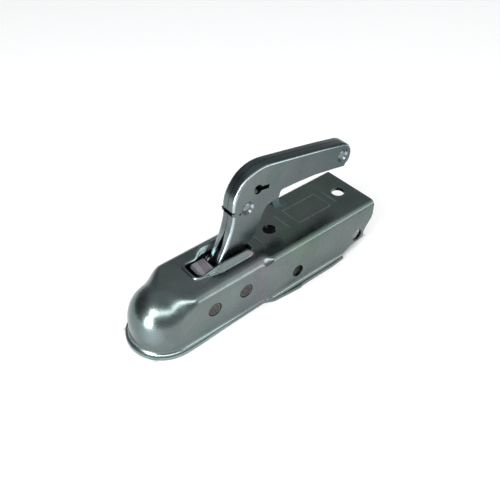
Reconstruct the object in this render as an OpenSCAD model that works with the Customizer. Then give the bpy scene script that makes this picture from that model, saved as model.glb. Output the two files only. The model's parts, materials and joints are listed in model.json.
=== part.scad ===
// Trailer coupling: a pressed steel head for a 50 mm towing ball, clamped over
// a square drawbar, with a folded two-shell handle that swings on a cross pin
// and works the clamping jaw behind the ball.
// Frame: origin at the centre of the coupled ball, X towards the drawbar,
// Z up. The ball leaves the socket along -Z.

/* [Ball and socket] */
// diameter of the towing ball
ball_d = 50; // [50:0.05:50.2]
// running gap between the ball and the seat or the jaw
ball_gap = 0.35; // [0.25:0.05:0.5]
// thickness of the seat pressed into the nose
seat_thick = 1.6; // [1.2:0.1:1.8]
// gap between the seat and the nose around it
nose_gap = 0.45; // [0.35:0.05:0.7]
// how far the seat reaches behind and below the ball centre
seat_reach = 9; // [7:0.5:10]

/* [Pressed housing] */
// thickness of the housing sheet
sheet = 3.2; // [2.8:0.1:3.3]
// width across the flats of the square drawbar
drawbar = 60; // [60:0.5:61]
// gap between the drawbar and each side wall
channel_gap = 0.25; // [0.15:0.05:0.5]
// height of the flat roof above the ball centre
roof_z = 32; // [31:0.5:33]
// level of the lower edge below the ball centre
skirt_z = 18.8; // [17.5:0.1:20]
// reach of the out-turned lip round the nose
lip = 3.6; // [2.6:0.1:4.2]
// height over which the wall curves out into the lip
flare_h = 5; // [3:0.5:5]
// outer bend radius along the roof edge of the front body
front_bend = 10; // [8:0.5:11]
// outer bend radius along the roof edge over the drawbar
rear_bend = 5.5; // [4.5:0.5:7]
// where the side walls start to step out to the drawbar width
step_x = 87; // [85:0.5:89]
// length of the outward step
step_len = 12; // [10:0.5:14]
// rear end of the roof
end_x = 228.5; // [226:0.5:240]

/* [Fixing holes] */
// diameter of the bolt holes
bolt_d = 13; // [12.5:0.1:13.5]
// front hole in the roof, distance behind the ball centre
roof_hole_x = 121.3; // [119:0.1:124]
// spacing of the two roof holes
roof_pitch = 90; // [88:0.5:92]
// front hole in each side wall, distance behind the ball centre
side_hole_x = 128.3; // [127:0.1:131]
// spacing of the two holes in each side wall
side_pitch = 80; // [78:0.5:81]
// level of the side holes
side_hole_z = -0.8; // [-1:0.1:1]

/* [Handle opening] */
// front end of the opening in the roof
slot_x = 31; // [30:0.5:31]
// rear end of the opening in the roof
slot_end = 90.5; // [89:0.5:92]
// half width of the opening in front of the handle
slot_half = 10; // [9.8:0.1:11]
// half width of the opening beside the handle
slot_wide = 12.8; // [12:0.1:14]
// height of the turned-up ears beside the handle
ear_h = 7.6; // [4:0.1:9]
// height of the rolled rim round the rest of the opening
rim_h = 1.7; // [1.5:0.1:2.2]

/* [Cross pins] */
// diameter of the two cross pins
pin_d = 12; // [11:0.1:12.5]
// diameter of the peened pin heads in the side walls
pin_head_d = 14; // [13.5:0.1:15]
// running gap on the radius between a pin and what turns on it
pin_gap = 0.06; // [0.04:0.01:0.1]
// level of the cross pins above the ball centre
pin_z = 9.5; // [9:0.1:10]
// jaw pin, distance behind the ball centre
jaw_x = 33.7; // [33.5:0.1:34.5]
// handle pin, distance behind the ball centre
lever_x = 68.4; // [67.5:0.1:69]

/* [Handle] */
// half of the overall width of the handle
hand_half = 8; // [7.6:0.1:8.6]
// thickness of each handle shell
shell = 2; // [1.6:0.1:2.2]
// half of the slit between the two shells along the top
seam = 0.25; // [0.15:0.05:0.4]
// outer bend radius of the shells
shell_bend = 3; // [2.6:0.1:3.4]
// diameter of the two handle rivets
rivet_d = 6; // [5:0.1:7]
// depth of the dimples round the handle rivets
dimple = 2; // [1.4:0.1:2.2]

/* [Springs] */
// wire diameter of the handle springs
wire_d = 2.8; // [2.2:0.1:3]
// number of coils in each handle spring
coils = 4; // [3:1:4]

/* [Hidden] */
ball_r = ball_d / 2;
seat_in = ball_r + ball_gap;
seat_out = seat_in + seat_thick;
front_half = seat_out + nose_gap + sheet;
rear_half = drawbar / 2 + channel_gap + sheet;
pin_r = pin_d / 2;
bore_r = pin_r + pin_gap;
head_r = pin_head_d / 2;
inner_half = front_half - sheet;
weld_sink = 0.25;
bolt_r = bolt_d / 2;
hand_in = hand_half - shell;
jaw_half = 13;
jaw_sweep = 27.4;
jaw_top = 6;
arm_thick = 9;
hub_r = pin_r + 2.4;
core_half = hand_in - 0.05;
side_gap = 0.3;
rivet_r = rivet_d / 2;
dish_r = rivet_r + 3.6;
grip_rivet = [88.6, 77.9];
end_rivet = [202.5, 82.3];
key_hole = [99.9, 92.3];
catch_pin = [113.5, 83];
core_rivet = [70, 27];
plate_top = roof_z - 0.9;
plate_thick = 1.5;
label_thick = 0.25;
plate_low = plate_top - label_thick - plate_thick;
plate_rivet_x = 42.5;
plate_rivet_r = 2;
plate_rivet_len = 9.35;

function lerp(a, b, t) = a + (b - a) * t;
function smooth(t) = t <= 0 ? 0 : t >= 1 ? 1 : t * t * (3 - 2 * t);
function unit2(v) = v / norm(v);

// Shape of the pressed housing, given as a row of ribs across the sheet.
// how far a rib has changed from the ball dome to the flat roofed box
function boxy(x) = smooth((x + 3) / 21);
function step_at(x) = smooth((x - step_x) / step_len);
function half_at(x) = lerp(front_half, rear_half, step_at(x));
function bend_at(x) = lerp(front_bend, rear_bend, step_at(x));
function flange_at(x) = lookup(x, [[0, lip], [12, lip], [50, 1.9], [84, 1.1], [step_x + 2, 1.1],
    [step_x + step_len, 2.8], [118, 4.6], [127.5, 5.2], [129.5, 5.2], [131, 4.2],
    [172, 4.2], [186, 3], [end_x, 3]]);
// shallow dent where the roof edge is pulled out at the step
function dent_at(x) = 1.1 * max(0, 1 - pow((x - step_x - 6) / 5, 2));

arc_n = 8;
fil_n = 4;
body_x = [end_x, 186, 172, 131, 129.5, 127.5, 118, step_x + step_len, step_x + 10, step_x + 8,
    step_x + 6, step_x + 4, step_x + 2, step_x, 50, 24, 20, 16, 12, 8, 4, 0];
nose_step = 9;
nose_a = [for (a = [90 - nose_step : -nose_step : -90 + nose_step]) a];
nb = len(body_x);
nn = len(nose_a);
nr = 2 * nb + nn;

// reach of the curve that turns the wall out into the lip
function flare_w(f) = min(3.6, f - 0.2);
// one rib of the sheet as [distance from the middle plane, height]; outer skin first
function rib_out(w, f, ry, rz, d) = concat(
    [[w + f, -skirt_z], [w + f, -skirt_z + sheet]],
    [for (k = [0 : fil_n]) let (a = 90 * k / fil_n, r = flare_w(f))
        [w + r - r * sin(a), -skirt_z + sheet + flare_h - flare_h * cos(a)]],
    [for (k = [0 : arc_n]) let (a = 90 * k / arc_n, g = d * sin(2 * a))
        [w - ry + (ry - g) * cos(a), roof_z - rz + (rz - g) * sin(a)]],
    [[0, roof_z]]);
function rib_in(w, f, ry, rz, d) = concat(
    [for (k = [0 : fil_n]) let (a = 90 * k / fil_n, r = flare_w(f), q = flare_h + sheet)
        [w + r - (r + sheet) * sin(a), -skirt_z + q - q * cos(a)]],
    [for (k = [0 : arc_n]) let (a = 90 * k / arc_n, g = d * sin(2 * a))
        [w - ry + (ry - sheet - g) * cos(a), roof_z - rz + (rz - sheet - g) * sin(a)]],
    [[0, roof_z - sheet]]);
ko = 2 + (fil_n + 1) + (arc_n + 1) + 1;
ki = (fil_n + 1) + (arc_n + 1) + 1;
kt = ko + ki;

function rib(w, f, ry, rz, d) = concat(rib_out(w, f, ry, rz, d), rib_in(w, f, ry, rz, d));
function body_rib(x) = rib(half_at(x), flange_at(x), lerp(front_half - 1.5, bend_at(x), boxy(x)),
    lerp(roof_z, bend_at(x), boxy(x)), dent_at(x));
function nose_rib(a) = let (x = -front_half * cos(a))
    rib(front_half, lip, lerp(front_half - 1.5, front_bend, boxy(x)), lerp(roof_z, front_bend, boxy(x)), 0);

function sheet_points() = concat(
    [for (x = body_x) for (q = body_rib(x)) [x, -q[0], q[1]]],
    [for (a = nose_a) for (q = nose_rib(a)) [-q[0] * cos(a), -q[0] * sin(a), q[1]]],
    [for (i = [nb - 1 : -1 : 0]) for (q = body_rib(body_x[i])) [body_x[i], q[0], q[1]]]);
// the near and far ribs share their points in the middle plane
function mid_row(i) = i >= nb && i < nb + nn ? nb - 1 : min(i, nr - 1 - i);
function vid(i, k) = (k == ko - 1 || k == kt - 1 ? mid_row(i) : i) * kt + k;
function tri(a, b, c) = a == b || b == c || a == c ? [] : [[a, b, c]];
function skin(k0, k1) = [for (i = [0 : nr - 2])
    for (t = concat(tri(vid(i, k0), vid(i, k1), vid(i + 1, k1)),
        tri(vid(i, k0), vid(i + 1, k1), vid(i + 1, k0)))) t];
function flip(f) = [for (t = f) [for (j = [len(t) - 1 : -1 : 0]) t[j]]];
// end faces of the sheet, as quads between the outer and the inner skin
function end_quads(i) = concat([[vid(i, 0), vid(i, 1), vid(i, 2), vid(i, ko)]],
    [for (j = [0 : ki - 2]) [vid(i, 2 + j), vid(i, 3 + j), vid(i, ko + j + 1), vid(i, ko + j)]]);
function rear_cap() = concat(end_quads(0), flip(end_quads(nr - 1)));

module pressed_sheet() {
    faces = concat(
        [for (k = [0 : ko - 2]) for (t = skin(k, k + 1)) t],
        [for (k = [ko : kt - 2]) for (t = flip(skin(k, k + 1))) t],
        flip(skin(0, ko)),
        flip(rear_cap()));
    polyhedron(points = sheet_points(), faces = flip(faces), convexity = 10);
}

// Opening for the handle, with its turned-up rim.
slot_r = 4;
ramp_end = 53;
// the near ear (s = -1) rises earlier than the far one (s = 1)
function ramp(x, s) = let (from = s < 0 ? 37 : 43, t = (x - from) / (ramp_end - from))
    lerp(max(0, min(1, t)), smooth(t), s < 0 ? 0.35 : 0.7);
function slot_at(x, s) = lerp(slot_half, slot_wide, ramp(x, s));
function ear_at(x, s) = x < 60 ? lerp(rim_h, ear_h, ramp(x, s))
    : lerp(rim_h, ear_h - 0.8 * smooth((x - 60) / 22), smooth((slot_end + 0.5 - x) / 9));
side_run = [36.5, 39, 41.5, 44, 46.5, 49, 51, 53, 57, 64, 72, 78, 81.5, 83.5, 85];
function slot_side(s) = concat(
    [[slot_x, 0], [slot_x, slot_half / 3]],
    [for (a = [0 : 22.5 : 90]) [slot_x + slot_r * (1 - cos(a)), slot_half - slot_r + slot_r * sin(a)]],
    [for (x = side_run) [x, slot_at(x, s)]],
    [for (a = [0 : 22.5 : 90]) [slot_end - slot_r + slot_r * sin(a), slot_wide - slot_r + slot_r * cos(a)]],
    [[slot_end, slot_wide / 3], [slot_end, 0]]);
far_side = slot_side(1);
slot_loop = concat([for (q = slot_side(-1)) [q[0], -q[1]]],
    [for (i = [len(far_side) - 2 : -1 : 1]) far_side[i]]);
ns = len(slot_loop);
function out_dir(i) = let (a = slot_loop[(i + ns - 1) % ns], b = slot_loop[(i + 1) % ns], t = unit2(b - a))
    [t[1], -t[0]];
function rim_profile(h) = [[0, -sheet + 0.1], [0, h - 1.1], [0.35, h - 0.35], [1.1, h], [1.9, h - 0.1],
    [2.55, h - 0.6], [2.8, h - 1.2], [2.95, 0.6 * (h - 1.2)], [3.4, 0.25 * (h - 1.2)], [4.6, -0.12],
    [4.6, -sheet + 0.1]];
mp = len(rim_profile(2));

module rolled_rim() {
    pts = [for (i = [0 : ns - 1]) for (q = rim_profile(ear_at(slot_loop[i][0], slot_loop[i][1])))
        [slot_loop[i][0] + out_dir(i)[0] * q[0], slot_loop[i][1] + out_dir(i)[1] * q[0], roof_z + q[1]]];
    faces = [for (i = [0 : ns - 1]) for (k = [0 : mp - 1])
        let (j = (i + 1) % ns, m = (k + 1) % mp)
        for (t = [[i * mp + k, i * mp + m, j * mp + m], [i * mp + k, j * mp + m, j * mp + k]]) t];
    polyhedron(points = pts, faces = flip(faces), convexity = 10);
}

// outline of what the sheet keeps at the rear: the walls are cut back below
module rear_cut() {
    cut = [[188, -skirt_z - 2], [188, -15.4], [189.5, -14], [203, -10], [212, -8.9], [216.5, -8.2],
        [218, -6.5], [218.2, -2], [219, 0.6], [221.5, 4.8], [225.5, 9.6], [227.6, 13], [228, 15.5],
        [end_x + 2, 16.5], [end_x + 2, -skirt_z - 2]];
    translate([0, rear_half + 10, 0]) rotate([90, 0, 0])
        linear_extrude(2 * rear_half + 20) polygon(cut);
}

module cross_bore(x, z, r) {
    translate([x, rear_half + 10, z]) rotate([90, 0, 0])
        cylinder(r = r, h = 2 * rear_half + 20, $fn = 48);
}

head_cone = 1.2;
module head_sinks(x) {
    for (s = [-1, 1]) {
        translate([x, s * (front_half - 2), pin_z]) rotate([-s * 90, 0, 0]) {
            cylinder(r1 = pin_r + 0.03, r2 = head_r + 0.03, h = head_cone, $fn = 64);
            translate([0, 0, head_cone - 0.01]) cylinder(r = head_r + 0.03, h = 3, $fn = 64);
        }
    }
}

// low rounded ridge on the roof from a to b
module ridge(a, b, half, rise) {
    d = b - a;
    translate([a[0], a[1], roof_z]) rotate([0, 0, atan2(d[1], d[0])]) rotate([90, 0, 90])
        linear_extrude(norm(d)) polygon([[-half - 0.3, -0.5], [half + 0.3, -0.5], [0.6 * half, 0.75 * rise],
            [0.25 * half, rise], [-0.25 * half, rise], [-0.6 * half, 0.75 * rise]]);
}

module roof_marks() {
    // three short cross ribs and an empty stamped frame on the roof
    for (x = [103.4, 137.2, 198.2]) {
        ridge([x, -11.5], [x, 10.5], 1.1, 0.45);
    }
    for (y = [-10.6, 12.4]) {
        ridge([147.9, y], [190.6, y], 0.6, 0.3);
    }
    for (x = [148.5, 190]) {
        ridge([x, -11.2], [x, 13], 0.6, 0.3);
    }
}

module housing() {
    color([0.46, 0.52, 0.52]) {
        difference() {
            pressed_sheet();
            translate([0, 0, roof_z - sheet - 4]) linear_extrude(sheet + 8) polygon(slot_loop);
            rear_cut();
            for (k = [0, 1]) {
                translate([roof_hole_x + k * roof_pitch, 0, roof_z - sheet - 5])
                    cylinder(r = bolt_r, h = sheet + 10, $fn = 64);
                cross_bore(side_hole_x + k * side_pitch, side_hole_z, bolt_r);
            }
            cross_bore(jaw_x, pin_z, pin_r + 0.03);
            cross_bore(lever_x, pin_z, pin_r + 0.03);
            head_sinks(jaw_x);
            head_sinks(lever_x);
        }
        rolled_rim();
        roof_marks();
    }
}

// Seat, pins and spacers.
module ball_seat() {
    color([0.5, 0.5, 0.52]) difference() {
        rotate_extrude($fn = 72) {
            intersection() {
                difference() {
                    circle(r = seat_out, $fn = 96);
                    circle(r = seat_in, $fn = 96);
                }
                translate([0, -seat_reach]) square([seat_out + 1, seat_out + seat_reach + 1]);
            }
        }
        translate([seat_reach, -2 * ball_r, -2 * ball_r]) cube(4 * ball_r);
    }
}

module seat_weld() {
    // three plug welds that hold the seat to the nose
    color([0.45, 0.45, 0.47]) for (a = [140, 180, 220]) {
        rotate([0, 0, a]) translate([seat_out - weld_sink, 0, -2]) rotate([0, 90, 0])
            cylinder(r = 3, h = nose_gap + 2 * weld_sink, $fn = 24);
    }
}

module cross_pin(x) {
    translate([x, 0, pin_z]) rotate([90, 0, 0]) {
        cylinder(r = pin_r, h = 2 * front_half - 3.9, center = true, $fn = 64);
        // peened heads, a little below the wall and hollow in the middle
        for (s = [0, 180]) {
            rotate([s, 0, 0]) translate([0, 0, front_half - 2]) rotate_extrude($fn = 64)
                polygon([[0, 0], [pin_r, 0], [head_r, head_cone], [head_r - 0.1, head_cone + 0.25],
                    [head_r - 1, head_cone + 0.5], [head_r - 2.6, head_cone + 0.3], [0, head_cone + 0.1]]);
        }
    }
}

module jaw_pin() {
    color([0.44, 0.43, 0.41]) cross_pin(jaw_x);
}

module lever_pin() {
    color([0.44, 0.43, 0.41]) cross_pin(lever_x);
}

module spacer(x, from, to, r) {
    translate([x, from, pin_z]) rotate([-90, 0, 0]) difference() {
        cylinder(r = r, h = to - from, $fn = 48);
        translate([0, 0, -1]) cylinder(r = bore_r, h = to - from + 2, $fn = 48);
    }
}

module jaw_spacer_near() {
    color([0.55, 0.56, 0.56]) spacer(jaw_x, -inner_half + side_gap, -jaw_half - side_gap, pin_r + 2.4);
}

module jaw_spacer_far() {
    color([0.55, 0.56, 0.56]) spacer(jaw_x, jaw_half + side_gap, inner_half - side_gap, pin_r + 2.4);
}

module lever_spacer_near() {
    color([0.55, 0.56, 0.56]) spacer(lever_x, -inner_half + side_gap, -hand_half - side_gap, pin_r + 2);
}

module lever_spacer_far() {
    color([0.55, 0.56, 0.56]) spacer(lever_x, hand_half + side_gap, inner_half - side_gap, pin_r + 2);
}

// Jaw with its indicator plate.
jaw_side = [[16, -14], [19, -15.6], [26, -17], [34, -15.5], [41, -10.5], [44.2, -4], [44.4, 3], [41.8, 9.5],
    [36, 17], [26, 17], [20, 6]];
jaw_arm = [[33, 12], [41.5, 12], [44.5, 18], [47.5, 25.5], [48, plate_low], [37, plate_low], [35.5, 22]];

// hole for the indicator rivet, a little wider and deeper than the rivet
module rivet_hole() {
    translate([plate_rivet_x, 0, plate_top - 10]) cylinder(r = plate_rivet_r + 0.03, h = 20, $fn = 32);
}

module jaw() {
    color([0.42, 0.43, 0.45]) difference() {
        union() {
            difference() {
                rotate([90, 0, 0]) linear_extrude(2 * jaw_half, center = true) polygon(jaw_side);
                translate([jaw_x, 0, pin_z]) rotate([90, 0, 0]) difference() {
                    cylinder(r = 2 * jaw_sweep, h = 3 * jaw_half, center = true, $fn = 64);
                    cylinder(r = jaw_sweep, h = 4 * jaw_half, center = true, $fn = 64);
                }
                translate([jaw_x - jaw_sweep, -1.5 * jaw_half, pin_z + jaw_top])
                    cube([2 * jaw_sweep, 3 * jaw_half, jaw_sweep]);
            }
            translate([jaw_x, 0, pin_z]) rotate([90, 0, 0])
                cylinder(r = hub_r, h = 2 * jaw_half, center = true, $fn = 48);
            rotate([90, 0, 0]) linear_extrude(arm_thick, center = true) polygon(jaw_arm);
        }
        sphere(r = seat_in, $fn = 96);
        translate([jaw_x, 0, pin_z]) rotate([90, 0, 0])
            cylinder(r = bore_r, h = 3 * jaw_half, center = true, $fn = 64);
        rivet_hole();
    }
}

module indicator_plate() {
    color([0.6, 0.6, 0.62]) difference() {
        translate([0, 0, plate_low]) linear_extrude(plate_thick)
            polygon([[35.4, -5.4], [38.2, -8.7], [51.4, -8.7], [51.4, 8.7], [38.2, 8.7], [35.4, 5.4]]);
        rivet_hole();
    }
}

module indicator_rivet() {
    color([0.7, 0.7, 0.7]) translate([plate_rivet_x, 0, plate_top - label_thick - plate_rivet_len])
        cylinder(r = plate_rivet_r, h = plate_rivet_len, $fn = 32);
}

module label() {
    color([0.62, 0.6, 0.66]) translate([0, 0, plate_top - label_thick]) linear_extrude(label_thick)
        polygon([[37.2, -8.4], [50, -8.4], [51.2, 8.4], [38.8, 8.4]]);
}

// Handle of two folded shells.
// outline of each shell in the XZ plane, with the depth of its rolled edge:
// [x, z, edge] where edge 0 is plain, 1 is a full width rolled edge
hand_line = [
    [56.9, 30, 0.45], [58.4, 34.1, 0.45], [61.2, 39.6, 0.5], [64.2, 45.2, 0.55], [66.2, 49.4, 0.7],
    [68.2, 54, 0.9],
    [70.1, 59.4, 1], [71.7, 65, 1], [72.8, 70, 1], [73.4, 74.6, 1],
    [73.2, 75.4, 0], [72.8, 78.6, 0],
    [72.9, 79.6, 1], [73.3, 84.4, 1], [74.5, 89.6, 1], [76.6, 94.6, 1], [79.7, 99.4, 1], [83.2, 103.6, 1],
    [87.4, 107.3, 1], [92, 109.9, 1], [97.2, 111.8, 1], [103.2, 112.9, 1], [109.6, 112.9, 1],
    [116.5, 111.9, 1], [128, 109.7, 1], [149.6, 105.6, 1], [177.4, 100.1, 1], [203.2, 94.6, 1],
    [208.3, 92.5, 1], [212, 89.5, 1], [214.4, 85.5, 1], [215.3, 81, 1], [214.7, 76.5, 1], [212.7, 72.7, 1],
    [209.7, 70.2, 1],
    [206.3, 69.3, 0], [190.9, 72.4, 0], [168, 76.6, 0], [145.1, 78.6, 0], [128.6, 79.3, 0], [126.2, 78.6, 0],
    [125, 76.6, 0], [124.7, 74.2, 0], [123.4, 72.4, 0], [116, 71.8, 0], [110.6, 70.6, 0], [107.4, 67.6, 0],
    [105, 63, 0], [102.6, 57.4, 0], [100.7, 51.8, 0], [98, 46.8, 0], [93.4, 42.4, 0], [87, 38.7, 0],
    [82.6, 36, 0], [80.2, 33, 0], [79.2, 29, 0], [79.4, 22, 0], [80.2, 14, 0], [80.4, 9.5, 0],
    [79.2, 4.2, 0], [75.9, 0.1, 0], [71.2, -2.2, 0], [66, -2.2, 0], [61.3, -0.1, 0], [57.9, 4, 0],
    [56.6, 9.5, 0], [56.2, 16, 0], [56.1, 24, 0]];
nh = len(hand_line);
function hp(i) = let (q = hand_line[(i + nh) % nh]) [q[0], q[1]];
// inward direction at a point of the outline (the list runs clockwise)
function hand_in_dir(i) = let (t = unit2(unit2(hp(i + 1) - hp(i)) + unit2(hp(i) - hp(i - 1)))) [t[1], -t[0]];
function edge_y(w) = lerp(hand_in - 1, seam, w);
// section of the rolled edge: [inset, distance from the middle plane]
bend_n = 4;
function edge_section(w) = concat(
    [for (k = [0 : bend_n]) let (a = 90 * k / bend_n)
        [shell_bend - shell_bend * sin(a), hand_half - shell_bend + shell_bend * cos(a)]],
    [for (q = [0, shell]) [q, min(edge_y(w), hand_half - shell_bend - 0.1)]],
    [for (k = [bend_n : -1 : 0]) let (a = 90 * k / bend_n, q = shell_bend - shell)
        [shell_bend - q * sin(a), hand_half - shell_bend + q * cos(a)]]);
me = len(edge_section(1));
function plain_section() = concat([for (k = [0 : me / 2 - 1]) [0, hand_half]],
    [for (k = [0 : me / 2 - 1]) [0, hand_in]]);
function shell_point(i, q) = let (p = hp(i), n = hand_in_dir(i))
    [p[0] + n[0] * q[0], -q[1], p[1] + n[1] * q[0]];
function rolled(i) = hand_line[(i + nh) % nh][2] > 0;
function sid(i, k) = let (j = (i + nh) % nh) rolled(j) ? j * me + k : j * me + (k < me / 2 ? 0 : me - 1);

// triangles that fill a closed outline: q holds the points, ids the corners left, counter-clockwise
function turn(a, b, c) = (b[0] - a[0]) * (c[1] - a[1]) - (b[1] - a[1]) * (c[0] - a[0]);
function covers(a, b, c, p) = turn(a, b, p) >= 0 && turn(b, c, p) >= 0 && turn(c, a, p) >= 0;
function ear(q, ids, i) = let (n = len(ids), a = ids[(i + n - 1) % n], b = ids[i], c = ids[(i + 1) % n])
    turn(q[a], q[b], q[c]) > 0.001
    && len([for (k = ids) if (k != a && k != b && k != c && covers(q[a], q[b], q[c], q[k])) k]) == 0;
function clip_ears(q, ids) = let (n = len(ids)) n == 3 ? [ids]
    : let (i = [for (k = [0 : n - 1]) if (ear(q, ids, k)) k][0])
        concat([[ids[(i + n - 1) % n], ids[i], ids[(i + 1) % n]]],
            clip_ears(q, [for (k = [0 : n - 1]) if (k != i) ids[k]]));

module shell_blank() {
    pts = [for (i = [0 : nh - 1]) for (q = rolled(i) ? edge_section(hand_line[i][2]) : plain_section())
        shell_point(i, q)];
    strips = [for (i = [0 : nh - 1]) if (rolled(i) && rolled(i + 1)) for (k = [0 : me - 2])
        for (t = [[sid(i, k), sid(i + 1, k), sid(i + 1, k + 1)],
            [sid(i, k), sid(i + 1, k + 1), sid(i, k + 1)]]) t];
    plain = [for (i = [0 : nh - 1]) if (!(rolled(i) && rolled(i + 1)))
        [sid(i, 0), sid(i + 1, 0), sid(i + 1, me - 1), sid(i, me - 1)]];
    starts = [for (i = [0 : nh - 1]) if (rolled(i) && !rolled(i - 1)) [for (k = [0 : me - 1]) sid(i, k)]];
    ends = [for (i = [0 : nh - 1]) if (rolled(i) && !rolled(i + 1)) [for (k = [me - 1 : -1 : 0]) sid(i, k)]];
    flat = clip_ears([for (i = [0 : nh - 1]) let (q = pts[sid(i, 0)]) [q[0], q[2]]],
        [for (i = [nh - 1 : -1 : 0]) i]);
    sides = concat([for (t = flat) [for (i = t) sid(i, 0)]],
        [for (t = flip(flat)) [for (i = t) sid(i, me - 1)]]);
    polyhedron(points = pts, faces = flip(concat(strips, plain, starts, ends, sides)), convexity = 10);
}

module along_y(p) {
    translate([p[0], 0, p[1]]) rotate([90, 0, 0]) children();
}

// dished seat of a rivet, pressed into the near shell
module dish(p) {
    along_y(p) rotate_extrude($fn = 48) polygon([
        [rivet_r + 0.05, hand_in - dimple], [rivet_r + 2.2, hand_in - dimple],
        [dish_r + 0.7, hand_in], [dish_r + 0.7, hand_half], [dish_r, hand_half],
        [rivet_r + 1.9, hand_half - dimple], [rivet_r + 0.05, hand_half - dimple]]);
}

module near_shell() {
    difference() {
        shell_blank();
        for (p = [grip_rivet, end_rivet]) {
            along_y(p) translate([0, 0, 1]) cylinder(r = dish_r + 0.3, h = hand_half, $fn = 48);
        }
        along_y(key_hole) translate([0, 0, 1]) linear_extrude(hand_half) union() {
            circle(r = 4.6, $fn = 40);
            rotate([0, 0, -9]) translate([0, -2]) square([12.6, 4]);
        }
        along_y([80.2, 75.5]) translate([0, 0, 1]) cylinder(r = 1.1, h = hand_half, $fn = 24);
        along_y([lever_x, pin_z]) cylinder(r = bore_r, h = 20, $fn = 64);
        along_y(core_rivet) cylinder(r = 3.03, h = 20, $fn = 40);
        along_y(catch_pin) translate([0, 0, 1]) cylinder(r = 2.53, h = hand_in - 0.2, $fn = 32);
    }
    dish(grip_rivet);
    dish(end_rivet);
}

module handle_near() {
    color([0.5, 0.56, 0.55]) near_shell();
}

module handle_far() {
    color([0.5, 0.56, 0.55]) mirror([0, 1, 0]) near_shell();
}

module handle_core() {
    // thick cam between the shells, bearing on the back of the jaw
    core_line = [[57.6, 20], [59.4, 27], [61.2, 30], [62.2, 34], [64.4, 37.2], [70, 37.6], [77, 30],
        [77.8, 20], [79, 9.5], [76, 2], [70, -1.4], [62, -5.4], [53, -8.6], [47.6, -8.4], [45.3, -5],
        [45.2, -0.5], [48.4, 2.6], [55, 5.4], [57.4, 14]];
    color([0.4, 0.41, 0.43]) difference() {
        rotate([90, 0, 0]) linear_extrude(2 * core_half, center = true) polygon(core_line);
        along_y([lever_x, pin_z]) cylinder(r = bore_r, h = 40, center = true, $fn = 64);
        along_y(core_rivet) cylinder(r = 3.03, h = 40, center = true, $fn = 40);
    }
}

module core_pin() {
    color([0.5, 0.5, 0.5]) along_y(core_rivet) {
        cylinder(r = 3, h = 2 * hand_half, center = true, $fn = 40);
        for (s = [0, 180]) {
            rotate([s, 0, 0]) translate([0, 0, hand_half]) cylinder(r1 = 4.4, r2 = 3.4, h = 1, $fn = 32);
        }
    }
}

module handle_rivet(p) {
    floor_y = hand_half - dimple;
    along_y(p) {
        cylinder(r = rivet_r, h = 2 * floor_y, center = true, $fn = 40);
        for (s = [0, 180]) {
            rotate([s, 0, 0]) translate([0, 0, floor_y]) rotate_extrude($fn = 40)
                polygon([[0, 0], [rivet_r + 1.4, 0], [rivet_r + 1.3, 0.6], [rivet_r + 0.5, 1.3],
                    [rivet_r - 1.2, 1.8], [0, 1.95]]);
        }
    }
}

module handle_sleeve(p) {
    half = hand_in - dimple - 0.03;
    along_y(p) difference() {
        cylinder(r = rivet_r + 2, h = 2 * half, center = true, $fn = 40);
        cylinder(r = rivet_r + 0.05, h = 2 * half + 2, center = true, $fn = 40);
    }
}

module grip_pin() {
    color([0.58, 0.6, 0.6]) handle_rivet(grip_rivet);
}

module end_pin() {
    color([0.58, 0.6, 0.6]) handle_rivet(end_rivet);
}

module grip_sleeve() {
    color([0.5, 0.5, 0.5]) handle_sleeve(grip_rivet);
}

module end_sleeve() {
    color([0.5, 0.5, 0.5]) handle_sleeve(end_rivet);
}

// Safety catch in the crook of the handle.
catch_half = 5;

module safety_catch() {
    catch_line = [[108.6, 83], [109.6, 79.6], [112, 77.9], [116.4, 77], [118.6, 73], [119.6, 66], [121.4, 61],
        [124.6, 58.2], [130, 56.6], [137, 55.4], [137.3, 56.9], [130.8, 58.8], [127.6, 62.2], [127, 67],
        [125.4, 74], [122.4, 80.6], [118.4, 85.4], [115.4, 87.6], [111.6, 87.6], [109.2, 86]];
    color([0.3, 0.36, 0.37]) difference() {
        rotate([90, 0, 0]) linear_extrude(2 * catch_half, center = true) polygon(catch_line);
        along_y(catch_pin) cylinder(r = 2.5 + pin_gap, h = 40, center = true, $fn = 40);
        // hollow back, as a folded sheet piece
        translate([0, catch_half - 1.8, 0]) rotate([90, 0, 0]) linear_extrude(2 * catch_half - 3.6)
            polygon([[117.4, 80], [120.2, 75], [121.4, 66.6], [123, 62.4], [125.8, 60.4], [125.2, 66],
                [123.6, 73.4], [120.8, 79.4], [118.4, 82.4]]);
    }
}

module catch_shaft() {
    color([0.55, 0.55, 0.55]) along_y(catch_pin)
        cylinder(r = 2.5, h = 2 * (hand_in + 0.7), center = true, $fn = 40);
}

// Torsion springs beside the handle.
function ring_at(c, u, v, r, n) = [for (k = [0 : n - 1]) let (a = 360 * k / n)
    c + u * (r * cos(a)) + v * (r * sin(a))];
function unit3(v) = v / norm(v);
module wire(path, r, n) {
    np = len(path);
    pts = [for (i = [0 : np - 1]) let (
        a = path[max(i - 1, 0)], b = path[min(i + 1, np - 1)], t = unit3(b - a),
        s = abs(t[1]) > 0.95 ? [1, 0, 0] : [0, 1, 0],
        u = unit3(cross(t, s)), v = cross(t, u))
        for (q = ring_at(path[i], u, v, r, n)) q];
    sides = [for (i = [0 : np - 2]) for (k = [0 : n - 1]) let (m = (k + 1) % n)
        for (t = [[i * n + k, i * n + m, (i + 1) * n + m], [i * n + k, (i + 1) * n + m, (i + 1) * n + k]]) t];
    polyhedron(points = pts, faces = flip(concat(sides, [[for (k = [n - 1 : -1 : 0]) k]],
        [[for (k = [0 : n - 1]) (np - 1) * n + k]])), convexity = 10);
}

coil_r = pin_r + 2 + 0.3 + wire_d / 2;
coil_y = hand_half + side_gap + 1.6 + wire_d / 2;
coil_seg = 15;

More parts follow.
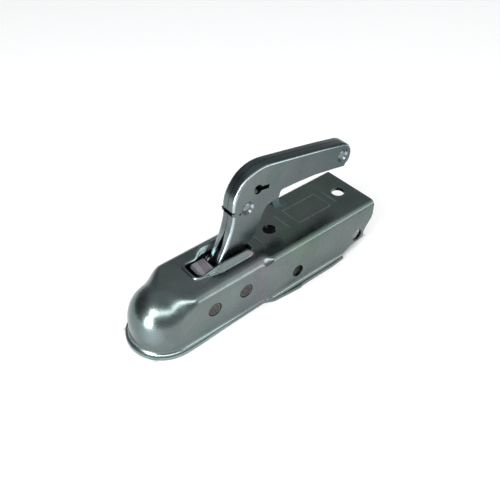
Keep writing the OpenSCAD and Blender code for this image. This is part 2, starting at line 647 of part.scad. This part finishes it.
module handle_spring() {
    pitch = wire_d + 0.45;
    turns = coils * coil_seg;
    // one leg lies under the roof, the other behind the front edge of the handle core
    path = concat(
        [[lever_x + coil_r + 17, -coil_y - 0.2, roof_z - sheet - wire_d / 2 - 0.4],
            [lever_x + coil_r + 4, -coil_y - 0.1, pin_z + 11],
            [lever_x + coil_r + 0.6, -coil_y, pin_z + 4]],
        [for (i = [0 : turns]) let (a = -360 * i / coil_seg)
            [lever_x + coil_r * cos(a), -coil_y - pitch * i / coil_seg, pin_z + coil_r * sin(a)]],
        [[lever_x + coil_r, -coil_y - pitch * coils, pin_z + 6],
            [lever_x + coil_r - 1, -coil_y - pitch * coils, pin_z + 15]]);
    wire(path, wire_d / 2, 6);
}

module spring_near() {
    color([0.35, 0.36, 0.38]) handle_spring();
}

module spring_far() {
    color([0.35, 0.36, 0.38]) mirror([0, 1, 0]) handle_spring();
}

housing();
ball_seat();
seat_weld();
jaw_pin();
lever_pin();
jaw_spacer_near();
jaw_spacer_far();
lever_spacer_near();
lever_spacer_far();
jaw();
indicator_plate();
indicator_rivet();
label();
handle_near();
handle_far();
handle_core();
core_pin();
grip_pin();
end_pin();
grip_sleeve();
end_sleeve();
safety_catch();
catch_shaft();
spring_near();
spring_far();
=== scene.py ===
import bpy
import json
import math
from mathutils import Vector, Matrix

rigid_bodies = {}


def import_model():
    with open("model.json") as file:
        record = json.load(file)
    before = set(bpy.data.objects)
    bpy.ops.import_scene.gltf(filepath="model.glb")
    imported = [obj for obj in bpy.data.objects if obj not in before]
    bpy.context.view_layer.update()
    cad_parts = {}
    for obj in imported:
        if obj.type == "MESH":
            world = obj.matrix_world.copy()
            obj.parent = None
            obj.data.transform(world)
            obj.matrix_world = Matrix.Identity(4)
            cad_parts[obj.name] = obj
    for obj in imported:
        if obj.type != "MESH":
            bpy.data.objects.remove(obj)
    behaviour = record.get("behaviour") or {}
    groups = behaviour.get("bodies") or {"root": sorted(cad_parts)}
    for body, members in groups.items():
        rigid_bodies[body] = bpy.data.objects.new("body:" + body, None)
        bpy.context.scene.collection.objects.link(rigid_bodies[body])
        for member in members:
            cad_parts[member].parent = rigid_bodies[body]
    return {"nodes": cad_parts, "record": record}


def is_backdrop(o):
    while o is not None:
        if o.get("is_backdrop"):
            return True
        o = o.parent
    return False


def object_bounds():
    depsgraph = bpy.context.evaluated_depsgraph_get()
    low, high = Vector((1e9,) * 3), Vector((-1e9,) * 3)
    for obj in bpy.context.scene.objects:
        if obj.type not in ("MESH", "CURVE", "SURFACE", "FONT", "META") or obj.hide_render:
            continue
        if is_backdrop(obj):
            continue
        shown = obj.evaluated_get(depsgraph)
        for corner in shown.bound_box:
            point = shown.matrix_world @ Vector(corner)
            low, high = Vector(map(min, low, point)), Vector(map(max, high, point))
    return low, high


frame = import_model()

CAD_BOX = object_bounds()
NODES = frame["nodes"]

# Places on the part, in metres from the centre of the ball
PINS = [j["pos_m"] for j in frame["record"]["behaviour"]["joints"] if j["parent"] == "head"]
PIN_HEAD_R = 0.0072
ROOF_Z = 0.032
EARS_X = (0.036, 0.090)
NOSE_HIGHLIGHT_AT = (-0.0235, 0.0185, 0.006)
LABEL_LINES_X = (0.0437, 0.0455, 0.0473, 0.0489)
LABEL_SLANT = 0.165

# Angles between faces above which an edge stays crisp, in degrees
HOUSING_CREASE = 40
CREASE = 30
WELD_REACH = 2e-6

# Colours
TOP_SHADE_AND_DARK_END = (0.035, 0.055, 0.06)
PAINTED_BEND_SHEEN = (0.56, 0.67, 0.73)
PAINTED_NOSE_HIGHLIGHT = (0.42, 0.50, 0.54)
PAINTED_LIP_HIGHLIGHT = (0.32, 0.37, 0.38)
PAINTED_MARK_HIGHLIGHT = (0.30, 0.37, 0.37)
PAINTED_EAR_HIGHLIGHT = (0.48, 0.60, 0.60)
PRINT_INK = (0.03, 0.028, 0.04)
RAINBOW = [(0.28, (0.80, 1.0, 0.97)), (0.42, (1.0, 1.0, 1.0)), (0.53, (1.0, 0.91, 0.95)),
    (0.63, (1.0, 1.0, 1.0)), (0.74, (0.94, 1.0, 0.84))]
WALL_BANDS = [(0.18, (0.93, 1.02, 0.98)), (0.33, (0.95, 1.0, 1.0)), (0.375, (1.12, 0.96, 1.02)),
    (0.41, (0.96, 1.02, 0.98)), (0.8, (0.82, 0.90, 0.84))]
# brightness of the studio by height, from the horizon up
SKY = ((0.0, 0.58), (0.14, 0.42), (0.36, 0.31), (0.68, 0.38), (0.86, 0.56))


class Nodes:
    # short calls for one node tree; most of them give the new node's output socket
    def __init__(self, tree):
        self.t = tree

    def new(self, kind):
        return self.t.nodes.new("ShaderNode" + kind)

    def link(self, a, b):
        self.t.links.new(a, b)

    def feed(self, v, socket):
        # link another socket to this one, or set it to a plain value
        if isinstance(v, bpy.types.NodeSocket):
            self.link(v, socket)
        elif socket.type == "RGBA":
            socket.default_value = (*v, 1.0) if isinstance(v, tuple) else (v, v, v, 1.0)
        else:
            socket.default_value = v

    def ramp(self, fac, stops):
        n = self.new("ValToRGB")
        r = n.color_ramp
        while len(r.elements) < len(stops):
            r.elements.new(0.5)
        for e, (p, c) in zip(r.elements, stops):
            e.position = p
            e.color = (*c, 1.0) if isinstance(c, tuple) else (c, c, c, 1.0)
        self.link(fac, n.inputs[0])
        return n.outputs[0]

    def mix(self, fac, a, b, blend="MIX"):
        n = self.new("Mix")
        n.data_type = "RGBA"
        n.blend_type = blend
        for i, v in ((0, fac), (6, a), (7, b)):
            self.feed(v, n.inputs[i])
        return n.outputs[2]

    def math(self, op, a, b=0.0):
        n = self.new("Math")
        n.operation = op
        self.feed(a, n.inputs[0])
        self.feed(b, n.inputs[1])
        return n.outputs[0]

    def span(self, v, lo, hi, out_lo, out_hi):
        n = self.new("MapRange")
        for k, x in zip(("From Min", "From Max", "To Min", "To Max"), (lo, hi, out_lo, out_hi)):
            n.inputs[k].default_value = x
        self.link(v, n.inputs["Value"])
        return n.outputs["Result"]

    def split(self, vector):
        n = self.new("SeparateXYZ")
        self.link(vector, n.inputs[0])
        return n.outputs


class Tree(Nodes):
    # the nodes of one metal or foil
    def __init__(self, name):
        self.mat = bpy.data.materials.new(name)
        self.mat.use_nodes = True
        super().__init__(self.mat.node_tree)
        self.t.nodes.clear()
        out = self.new("OutputMaterial")
        self.bsdf = self.new("BsdfPrincipled")
        self.link(self.bsdf.outputs[0], out.inputs[0])
        self.coord = self.new("TexCoord").outputs["Object"]

    @classmethod
    def of(cls, mat):
        # go on with the tree of a finished material
        m = cls.__new__(cls)
        m.mat, m.t = mat, mat.node_tree
        m.bsdf = next(n for n in m.t.nodes if n.type == "BSDF_PRINCIPLED")
        m.coord = m.new("TexCoord").outputs["Object"]
        return m

    def scaled(self, scale):
        n = self.new("Mapping")
        n.inputs["Scale"].default_value = scale
        self.link(self.coord, n.inputs["Vector"])
        return n.outputs[0]

    def noise(self, scale, detail=4.0, rough=0.55, stretch=None, distort=0.0):
        n = self.new("TexNoise")
        n.inputs["Scale"].default_value = scale
        n.inputs["Detail"].default_value = detail
        n.inputs["Roughness"].default_value = rough
        n.inputs["Distortion"].default_value = distort
        self.link(self.scaled(stretch) if stretch else self.coord, n.inputs["Vector"])
        return n.outputs[0]

    def cells(self, scale):
        n = self.new("TexVoronoi")
        n.feature = "F1"
        n.inputs["Scale"].default_value = scale
        self.link(self.coord, n.inputs["Vector"])
        return n.outputs["Distance"]

    def axes(self):
        return self.split(self.coord)

    def normal(self):
        # surface direction in the piece's own axes
        return self.split(self.new("TexCoord").outputs["Normal"])

    def distance(self, at, point):
        n = self.new("VectorMath")
        n.operation = "DISTANCE"
        join = self.new("CombineXYZ")
        for i, v in enumerate(at):
            self.feed(v, join.inputs[i])
        self.link(join.outputs[0], n.inputs[0])
        n.inputs[1].default_value = point
        return n.outputs["Value"]

    def bump(self, height, strength, distance):
        n = self.new("Bump")
        n.inputs["Strength"].default_value = strength
        n.inputs["Distance"].default_value = distance
        self.link(height, n.inputs["Height"])
        if self.bsdf.inputs["Normal"].is_linked:
            self.link(self.bsdf.inputs["Normal"].links[0].from_socket, n.inputs["Normal"])
        self.link(n.outputs[0], self.bsdf.inputs["Normal"])

    def base(self):
        return self.bsdf.inputs["Base Color"].links[0].from_socket

    def put(self, name, v):
        self.feed(v, self.bsdf.inputs[name])


def grip_shade_and_sheen(m, base, rough, sheen_strength):
    nx, ny, nz = m.normal()
    x, y, z = m.axes()
    # painted shade: the upward faces of the grip are painted darker; the grip also darkens towards its
    # end
    top = m.span(nz, 0.35, 0.75, 0.0, 0.60)
    far = m.span(x, 0.085, 0.19, 0.08, 0.55)
    base = m.mix(m.math("MAXIMUM", top, far), base, TOP_SHADE_AND_DARK_END)
    # painted highlight: the bends and the lower front are painted brighter, as a sheen of light on them,
    # and made a little smoother
    bend = m.ramp(m.math("ABSOLUTE", ny), [(0.30, 0.0), (0.52, 1.0), (0.84, 1.0), (0.95, 0.0)])
    bend = m.math("MULTIPLY", bend, m.span(nz, 0.45, 0.75, 1.0, 0.0))
    front = m.math("MULTIPLY", m.span(nx, -0.9, -0.7, 0.55, 0.0), m.span(z, 0.050, 0.060, 1.0, 0.0))
    patchy = m.span(m.noise(30, 3, 0.5), 0.3, 0.6, 0.6 * sheen_strength, sheen_strength)
    sheen = m.math("MULTIPLY", m.math("MAXIMUM", bend, front), patchy)
    return m.mix(sheen, base, PAINTED_BEND_SHEEN), m.math("SUBTRACT", rough, m.math("MULTIPLY", sheen, 0.08))


def head_highlights_and_bands(m, base):
    x, y, z = m.axes()
    # painted highlight: a patch on the front of the nose is painted brighter, standing in for a
    # highlight there
    d = m.distance((x, m.math("ABSOLUTE", y), z), NOSE_HIGHLIGHT_AT)
    base = m.mix(m.span(d, 0.003, 0.013, 0.30, 0.0), base, PAINTED_NOSE_HIGHLIGHT)
    # painted highlight: so is its out-turned lip, painted brighter towards the front
    low = m.math("MULTIPLY", m.span(z, -0.0120, -0.0155, 0.0, 0.65), m.span(x, 0.03, 0.07, 1.0, 0.25))
    base = m.mix(low, base, PAINTED_LIP_HIGHLIGHT)
    # painted highlight: and the tops of the raised marks behind the opening are painted lighter
    raised = m.span(z, ROOF_Z + 0.00004, ROOF_Z + 0.00018, 0.0, 0.55)
    behind = m.span(x, EARS_X[1] + 0.002, EARS_X[1] + 0.004, 0.0, 1.0)
    base = m.mix(m.math("MULTIPLY", raised, behind), base, PAINTED_MARK_HIGHLIGHT)
    # pinkish and greenish bands of the plating along the walls
    band = m.ramp(m.span(x, 0.0, 0.23, 0.0, 1.0), WALL_BANDS)
    return m.mix(0.8, base, band, "MULTIPLY")


def zinc(name, clouds, rough, cast, grain=1.0, sheen_strength=0.0, nose=False):
    # electro-plated zinc: soft clouds, a faint rainbow cast, fine pitting, stains and scratches; on the
    # grip and the head also painted shade and painted highlights
    m = Tree(name)
    cloud = m.noise(26, 5, 0.6)
    base = m.ramp(cloud, list(zip((0.3, 0.5, 0.72), clouds)))
    film = m.ramp(m.noise(11, 2, 0.4, distort=0.8), RAINBOW)
    base = m.mix(cast, base, film, "MULTIPLY")
    speck = m.ramp(m.noise(900, 3, 0.6), [(0.3, 0.86), (0.5, 1.0), (0.75, 1.1)])
    base = m.mix(0.5 * grain, base, speck, "MULTIPLY")
    stain = m.ramp(m.noise(60, 6, 0.7, distort=1.2), [(0.62, 1.0), (0.72, 0.84), (0.8, 0.95)])
    base = m.mix(0.45 * grain, base, stain, "MULTIPLY")
    r = m.span(m.mix(0.5, cloud, m.noise(140, 4, 0.6)), 0.3, 0.7, *rough)
    if sheen_strength:
        base, r = grip_shade_and_sheen(m, base, r, sheen_strength)
    if nose:
        base = head_highlights_and_bands(m, base)
    m.put("Base Color", base)
    m.put("Metallic", 1.0)
    m.put("Roughness", r)
    m.bump(m.noise(420, 4, 0.6, (1, 1, 1)), 0.10 * grain, 0.0004)
    m.bump(m.noise(9, 3, 0.5), 0.10 * grain, 0.002)
    m.bump(m.noise(60, 2, 0.5, (1, 40, 40)), 0.03 * grain, 0.0003)
    return m.mat


def pin_detail(mat):
    # peened pin heads: a turned-over rim, a dark gap line and small hammer dents; the bright rings in
    # their colour are a painted highlight
    m = Tree.of(mat)
    x, y, z = m.axes()
    near = [m.distance((x, 0.0, z), (px, 0.0, pz)) for px, py, pz in PINS]
    out = m.span(m.math("MINIMUM", *near), 0.0, PIN_HEAD_R, 0.0, 1.0)
    dents = m.cells(760)
    ring = m.ramp(out, [(0.0, 0.35), (0.22, 0.5), (0.40, 0.28), (0.58, 0.62), (0.74, 0.7),
        (0.90, 0.45), (1.0, 0.0)])
    m.bump(ring, 0.9, 0.0012)
    m.bump(dents, 0.6, 0.0007)
    # painted highlight: brighter rings across the head, and a dark line at its edge for the gap
    ring_highlights_and_gap = m.ramp(out, [(0.0, 0.8), (0.30, 1.2), (0.50, 0.6), (0.70, 1.35), (0.86, 1.0), (0.95, 0.25)])
    base = m.mix(1.0, m.base(), ring_highlights_and_gap, "MULTIPLY")
    m.put("Base Color", m.mix(1.0, base, m.span(dents, 0.1, 0.7, 1.35, 0.65), "MULTIPLY"))


def lean_ears(mat):
    # the inner faces of the turned-up ears beside the handle are shaded as if they leant outwards a
    # little, so they catch the sky
    m = Tree.of(mat)
    x, y, z = m.axes()
    front, rear = EARS_X
    ear = m.math("MULTIPLY", m.span(x, front, front + 0.006, 0.0, 1.0),
        m.span(x, rear, rear - 0.002, 0.0, 1.0))
    ear = m.math("MULTIPLY", ear, m.span(z, ROOF_Z - 0.0008, ROOF_Z + 0.0005, 0.0, 1.0))
    ear = m.math("MULTIPLY", ear, m.span(m.math("ABSOLUTE", m.normal()[1]), 0.8, 0.95, 0.0, 1.0))
    # painted highlight: the far ear's inner face is painted lighter, as if it caught more light
    far = m.math("MULTIPLY", ear, m.span(y, 0.0, 0.005, 0.0, 0.8))
    m.put("Base Color", m.mix(far, m.base(), PAINTED_EAR_HIGHLIGHT))
    up = m.new("CombineXYZ")
    m.link(m.math("MULTIPLY", ear, 0.70), up.inputs[2])
    lean = m.new("VectorMath")
    lean.operation = "ADD"
    m.link(m.new("NewGeometry").outputs["Normal"], lean.inputs[0])
    m.link(up.outputs[0], lean.inputs[1])
    unit = m.new("VectorMath")
    unit.operation = "NORMALIZE"
    m.link(lean.outputs[0], unit.inputs[0])
    # feed it to the first bump of the chain
    first = m.bsdf.inputs["Normal"].links[0].from_node
    while first.inputs["Normal"].is_linked:
        first = first.inputs["Normal"].links[0].from_node
    m.link(unit.outputs[0], first.inputs["Normal"])


def label_foil():
    # mauve grey foil with four plain cross lines on its rear half, along the label's slant
    m = Tree("label_foil")
    x, y, z = m.axes()
    base = m.ramp(m.noise(120, 4, 0.6), [(0.3, (0.18, 0.165, 0.195)), (0.7, (0.27, 0.25, 0.285))])
    along = m.math("SUBTRACT", x, m.math("MULTIPLY", y, LABEL_SLANT))
    for line_x in LABEL_LINES_X:
        d = m.math("ABSOLUTE", m.math("SUBTRACT", along, line_x))
        base = m.mix(m.span(d, 0.00026, 0.00052, 0.9, 0.0), base, PRINT_INK)
    m.put("Base Color", base)
    m.put("Roughness", 0.42)
    m.put("Metallic", 0.35)
    m.bump(m.noise(500, 3, 0.5), 0.06, 0.0003)
    return m.mat


# Each metal: its dark, middle and light clouds, the range of its roughness, and the strength of its cast
METALS = {
    "zinc_sheet": dict(clouds=((0.118, 0.150, 0.148), (0.146, 0.173, 0.171), (0.176, 0.198, 0.193)),
        rough=(0.20, 0.34), cast=0.7, nose=True),
    "zinc_handle": dict(clouds=((0.115, 0.147, 0.145), (0.143, 0.172, 0.167), (0.176, 0.200, 0.190)),
        rough=(0.20, 0.34), cast=0.6, sheen_strength=0.58),
    "raw_steel": dict(clouds=((0.16, 0.16, 0.16), (0.22, 0.22, 0.22), (0.28, 0.28, 0.27)),
        rough=(0.34, 0.5), cast=0.2, grain=1.4),
    "pin_steel": dict(clouds=((0.04, 0.046, 0.045), (0.075, 0.076, 0.072), (0.125, 0.122, 0.114)),
        rough=(0.34, 0.56), cast=0.3, grain=1.8),
    "spacer_steel": dict(clouds=((0.20, 0.21, 0.21), (0.26, 0.27, 0.27), (0.32, 0.33, 0.33)),
        rough=(0.26, 0.4), cast=0.3),
    "forged_steel": dict(clouds=((0.07, 0.085, 0.10), (0.11, 0.13, 0.155), (0.17, 0.20, 0.23)),
        rough=(0.2, 0.36), cast=0.3, grain=1.3),
    "plate_zinc": dict(clouds=((0.20, 0.21, 0.22), (0.27, 0.28, 0.29), (0.34, 0.34, 0.35)),
        rough=(0.3, 0.42), cast=0.3),
    "rivet_zinc": dict(clouds=((0.15, 0.175, 0.18), (0.20, 0.225, 0.23), (0.26, 0.28, 0.28)),
        rough=(0.24, 0.36), cast=0.3),
    # painted shade: the catch's zinc is much darker than the handle's, for the shade inside the grip
    "catch_zinc": dict(clouds=((0.04, 0.075, 0.08), (0.07, 0.11, 0.115), (0.11, 0.15, 0.15)),
        rough=(0.28, 0.42), cast=0.3),
    "spring_steel": dict(clouds=((0.05, 0.05, 0.055), (0.08, 0.08, 0.085), (0.12, 0.12, 0.12)),
        rough=(0.22, 0.36), cast=0.2),
}
MATS = {name: zinc(name, **look) for name, look in METALS.items()}
lean_ears(MATS["zinc_sheet"])
pin_detail(MATS["pin_steel"])
MATS["label_foil"] = label_foil()

slots = {s["node"]: s["material_slot"] for s in frame["record"]["subparts"]}
for name, o in NODES.items():
    o.data.materials.clear()
    o.data.materials.append(MATS[slots[name]])
    for p in o.data.polygons:
        p.material_index = 0


def smooth_by_angle(o, degrees):
    # flat faces stay crisp, pressed bends run smoothly across the pieces of the solid's skin
    o.data.shade_smooth()
    weld = o.modifiers.new("weld", "WELD")
    weld.merge_threshold = WELD_REACH
    split = o.modifiers.new("split", "EDGE_SPLIT")
    split.use_edge_sharp = False
    split.split_angle = math.radians(degrees)


for name, o in NODES.items():
    stored = o.data.attributes.get("custom_normal")
    if stored:
        o.data.attributes.remove(stored)
    smooth_by_angle(o, HOUSING_CREASE if name == "housing" else CREASE)

# Camera at the photograph's view, as fitted to it
CAMERA_AT = Vector((-0.189204, -0.337236, 0.419586))
BACK = Vector((-0.481411, -0.565013, 0.670077))
RIGHT = Vector((0.764792, -0.644247, 0.006225))
UP = Vector((0.428178, 0.515467, 0.742265))
cam_data = bpy.data.cameras.new("camera")
cam_data.sensor_width = 36.0
cam_data.lens = 46.865
cam_data.clip_start = 0.01
cam = bpy.data.objects.new("camera", cam_data)
bpy.context.scene.collection.objects.link(cam)
rot = Matrix((RIGHT, UP, BACK)).transposed().to_4x4()
cam.matrix_world = Matrix.Translation(CAMERA_AT) @ rot
bpy.context.scene.camera = cam

# Floor: plain and pale, white to the camera and to reflections, and it keeps the shadow
FLOOR_Z = CAD_BOX[0][2] - 0.0005
PAPER = 0.52
GLOW = 0.54
SHADE_REACH = 0.14
# painted shade: the strip of paper under the head, where the glow is switched off: its middle, half
# length, and the width of its soft edge
SHADE_STRIP_X = (0.102, 0.132, 0.004)
SHADE_STRIP_Y = (0.0, 0.027, 0.003)


def outside(n, v, middle, half, soft):
    return n.span(n.math("ABSOLUTE", n.math("SUBTRACT", v, middle)), half - soft, half, 0.0, 1.0)


def floor_paper():
    mat = bpy.data.materials.new("floor_paper")
    mat.use_nodes = True
    n = Nodes(mat.node_tree)
    n.t.nodes.clear()
    out = n.new("OutputMaterial")
    paper = n.new("BsdfDiffuse")
    paper.inputs["Color"].default_value = (PAPER, PAPER, PAPER, 1)
    glow = n.new("Emission")
    glow.inputs["Color"].default_value = (1, 1, 1, 1)
    glow.inputs["Strength"].default_value = GLOW
    dark = n.new("Emission")
    dark.inputs["Strength"].default_value = 0.0
    # the glow fades where the part hides the sky, and is off in the strip under the head, a fixed
    # painted shade
    ao = n.new("AmbientOcclusion")
    ao.inputs["Distance"].default_value = SHADE_REACH
    ao.samples = 8
    open_sky = n.span(ao.outputs["AO"], 0.36, 0.74, 0.0, 1.0)
    x, y, z = n.split(n.new("NewGeometry").outputs["Position"])
    beside = n.math("MAXIMUM", outside(n, x, *SHADE_STRIP_X), outside(n, y, *SHADE_STRIP_Y))
    shade = n.new("MixShader")
    n.link(n.math("MULTIPLY", open_sky, beside), shade.inputs[0])
    n.link(dark.outputs[0], shade.inputs[1])
    n.link(glow.outputs[0], shade.inputs[2])
    glowing = n.new("AddShader")
    n.link(paper.outputs[0], glowing.inputs[0])
    n.link(shade.outputs[0], glowing.inputs[1])
    # only the camera and its reflections see the glow, so that it doesn't light the part
    ray = n.new("LightPath").outputs
    seen = n.math("MAXIMUM", ray["Is Camera Ray"], ray["Is Glossy Ray"])
    seen = n.math("MAXIMUM", seen, ray["Is Transmission Ray"])
    pick = n.new("MixShader")
    n.link(seen, pick.inputs[0])
    n.link(paper.outputs[0], pick.inputs[1])
    n.link(glowing.outputs[0], pick.inputs[2])
    n.link(pick.outputs[0], out.inputs[0])
    return mat


bpy.ops.mesh.primitive_plane_add(size=14, location=(0.1, 0, FLOOR_Z))
floor = bpy.context.object
floor.name = "floor"
floor.data.materials.append(floor_paper())
floor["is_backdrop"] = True

# World: pale near the horizon, dim overhead, as in a studio with a dark ceiling
DIM_SIDE = (-0.78, 0.62, 0.0)
world = bpy.data.worlds.new("studio")
bpy.context.scene.world = world
world.use_nodes = True
w = Nodes(world.node_tree)
w.t.nodes.clear()
way = w.new("TexCoord").outputs["Generated"]
sky = w.ramp(w.split(way)[2], [(place, (v, 1.03 * v, 1.06 * v)) for place, v in SKY])
# the left rear of the studio is darker than the rest
dot = w.new("VectorMath")
dot.operation = "DOT_PRODUCT"
dot.inputs[1].default_value = DIM_SIDE
w.link(way, dot.inputs[0])
dim = w.span(dot.outputs["Value"], 0.35, 0.9, 1.0, 0.25)
backdrop = w.new("Background")
w.link(w.mix(1.0, sky, dim, "MULTIPLY"), backdrop.inputs[0])
w.link(backdrop.outputs[0], w.new("OutputWorld").inputs[0])


def area(name, at, target, size, power, along=None, shape="RECTANGLE"):
    d = bpy.data.lights.new(name, "AREA")
    d.shape = shape
    d.size, d.size_y = size
    d.energy = power
    o = bpy.data.objects.new(name, d)
    bpy.context.scene.collection.objects.link(o)
    o.location = at
    away = (Vector(at) - Vector(target)).normalized()
    if along:
        side = Vector(along)
        side = (side - away * side.dot(away)).normalized()
        o.rotation_euler = Matrix((side, away.cross(side), away)).transposed().to_euler()
    else:
        o.rotation_euler = away.to_track_quat("Z", "Y").to_euler()


area("side_box", (-0.86, -0.17, 0.18), (0.0, 0, 0.02), (0.40, 0.56), 9.5, shape="ELLIPSE")
area("strip", (-0.50, -0.66, 0.93), (0.0, 0, 0), (1.45, 0.30), 10.0, along=(0.95, -0.69, 0.05))
area("arch", (-0.69, -0.20, 0.68), (0.0, 0, 0), (0.40, 0.36), 4.6, shape="ELLIPSE")
area("edge_box", (0.80, -1.15, 0.34), (0.08, 0, 0), (1.2, 0.34), 5.0)
area("fill", (0.85, -0.98, 0.98), (0.1, 0, 0), (1.4, 1.0), 4.5)

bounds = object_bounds()
plain = lambda b: [list(map(float, v)) for v in b]
{"cad": plain(CAD_BOX), "visual": plain(bounds)}
scene = bpy.context.scene
scene.view_settings.view_transform = "Standard"
